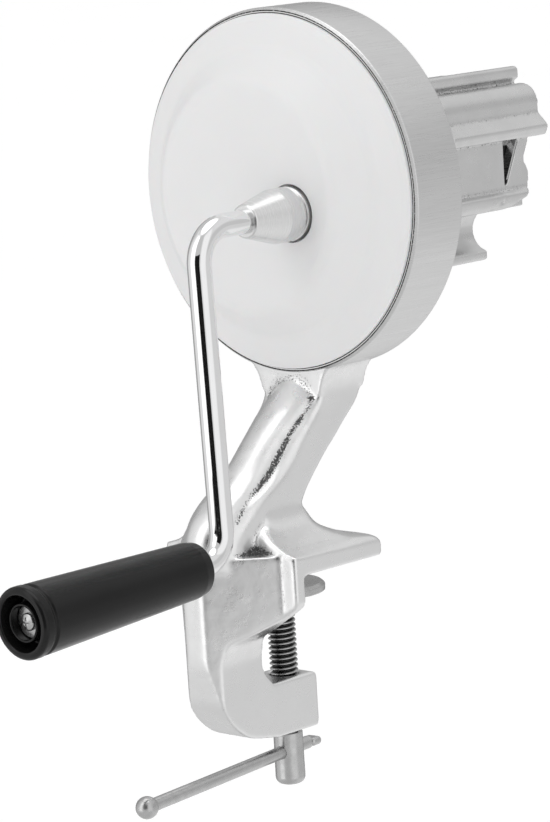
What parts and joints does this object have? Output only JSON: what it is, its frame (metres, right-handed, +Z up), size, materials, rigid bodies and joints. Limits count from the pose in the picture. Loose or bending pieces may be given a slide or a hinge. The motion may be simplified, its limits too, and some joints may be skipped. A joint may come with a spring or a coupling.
{
  "type": "rotary vegetable slicer",
  "caption": "Hand-cranked drum slicer with white dished cover, feed chute behind, leaning neck and C-clamp with tommy bar screw.",
  "frame": {"origin": "on the clamp screw's axis in the plane of the upper jaw's table face", "axes": "+Z up along the clamp screw, -Y towards the crank and its user, +X towards the feed side of the drum"},
  "size_m": [0.128, 0.2312, 0.273],
  "materials": {
    "cast_aluminium": "polished and tumbled casting",
    "white_plastic": "satin moulding",
    "black_plastic": "glossy moulding",
    "chrome_rod": "bright chrome plate",
    "turned_hub": "turned",
    "zinc_steel": "zinc plated",
    "stainless": "ground",
    "bronze": "sintered bronze"
  },
  "bodies": {
    "frame": {"main_casting": "cast_aluminium", "feed_chute": "cast_aluminium", "chute_screws": "zinc_steel", "string_knife": "stainless", "string_knife_pin": "zinc_steel", "front_cover": "white_plastic", "rear_bush": "bronze", "thrust_washer": "bronze"},
    "crank": {"crank_hub": "turned_hub", "crank_rod": "chrome_rod", "cutter_shaft": "zinc_steel", "disc_collar": "turned_hub", "disc_rivets": "zinc_steel", "cutting_disc": "stainless", "knife_1": "stainless", "knife_2": "stainless", "knife_3": "stainless", "knife_screws": "zinc_steel", "rear_washer": "zinc_steel", "retaining_ring": "zinc_steel", "grip_washer": "zinc_steel", "grip_screw": "zinc_steel"},
    "grip": {"grip": "black_plastic"},
    "pad": {"pressure_pad": "zinc_steel"},
    "screw": {"clamp_screw": "zinc_steel"},
    "bar": {"tommy_bar": "zinc_steel", "tommy_ball": "zinc_steel"}
  },
  "joints": [
    {"name": "crank_spin", "type": "hinge", "parent": "frame", "child": "crank", "pos_m": [0.0209, 0.02, 0.1226], "axis": [0, 1, 0], "continuous": true},
    {"name": "grip_spin", "type": "hinge", "parent": "crank", "child": "grip", "pos_m": [0.0209, -0.048, 0.0101], "axis": [0, 0.9995, 0.0314], "continuous": true},
    {"name": "pad_slide", "type": "slide", "parent": "frame", "child": "pad", "axis": [0, 0, 1], "range_m": [-0.0241, 0.0016]},
    {"name": "screw_turn", "type": "hinge", "parent": "pad", "child": "screw", "pos_m": [0, 0, 0], "axis": [0, 0, 1], "range_deg": [-4800, 300]},
    {"name": "bar_slide", "type": "slide", "parent": "screw", "child": "bar", "axis": [0.1288, -0.9917, 0], "range_m": [-0.072, 0.004]}
  ],
  "couplings": [
    {"joint": "pad_slide", "follows": "screw_turn", "m_per_rad": 0.00028648}
  ]
}
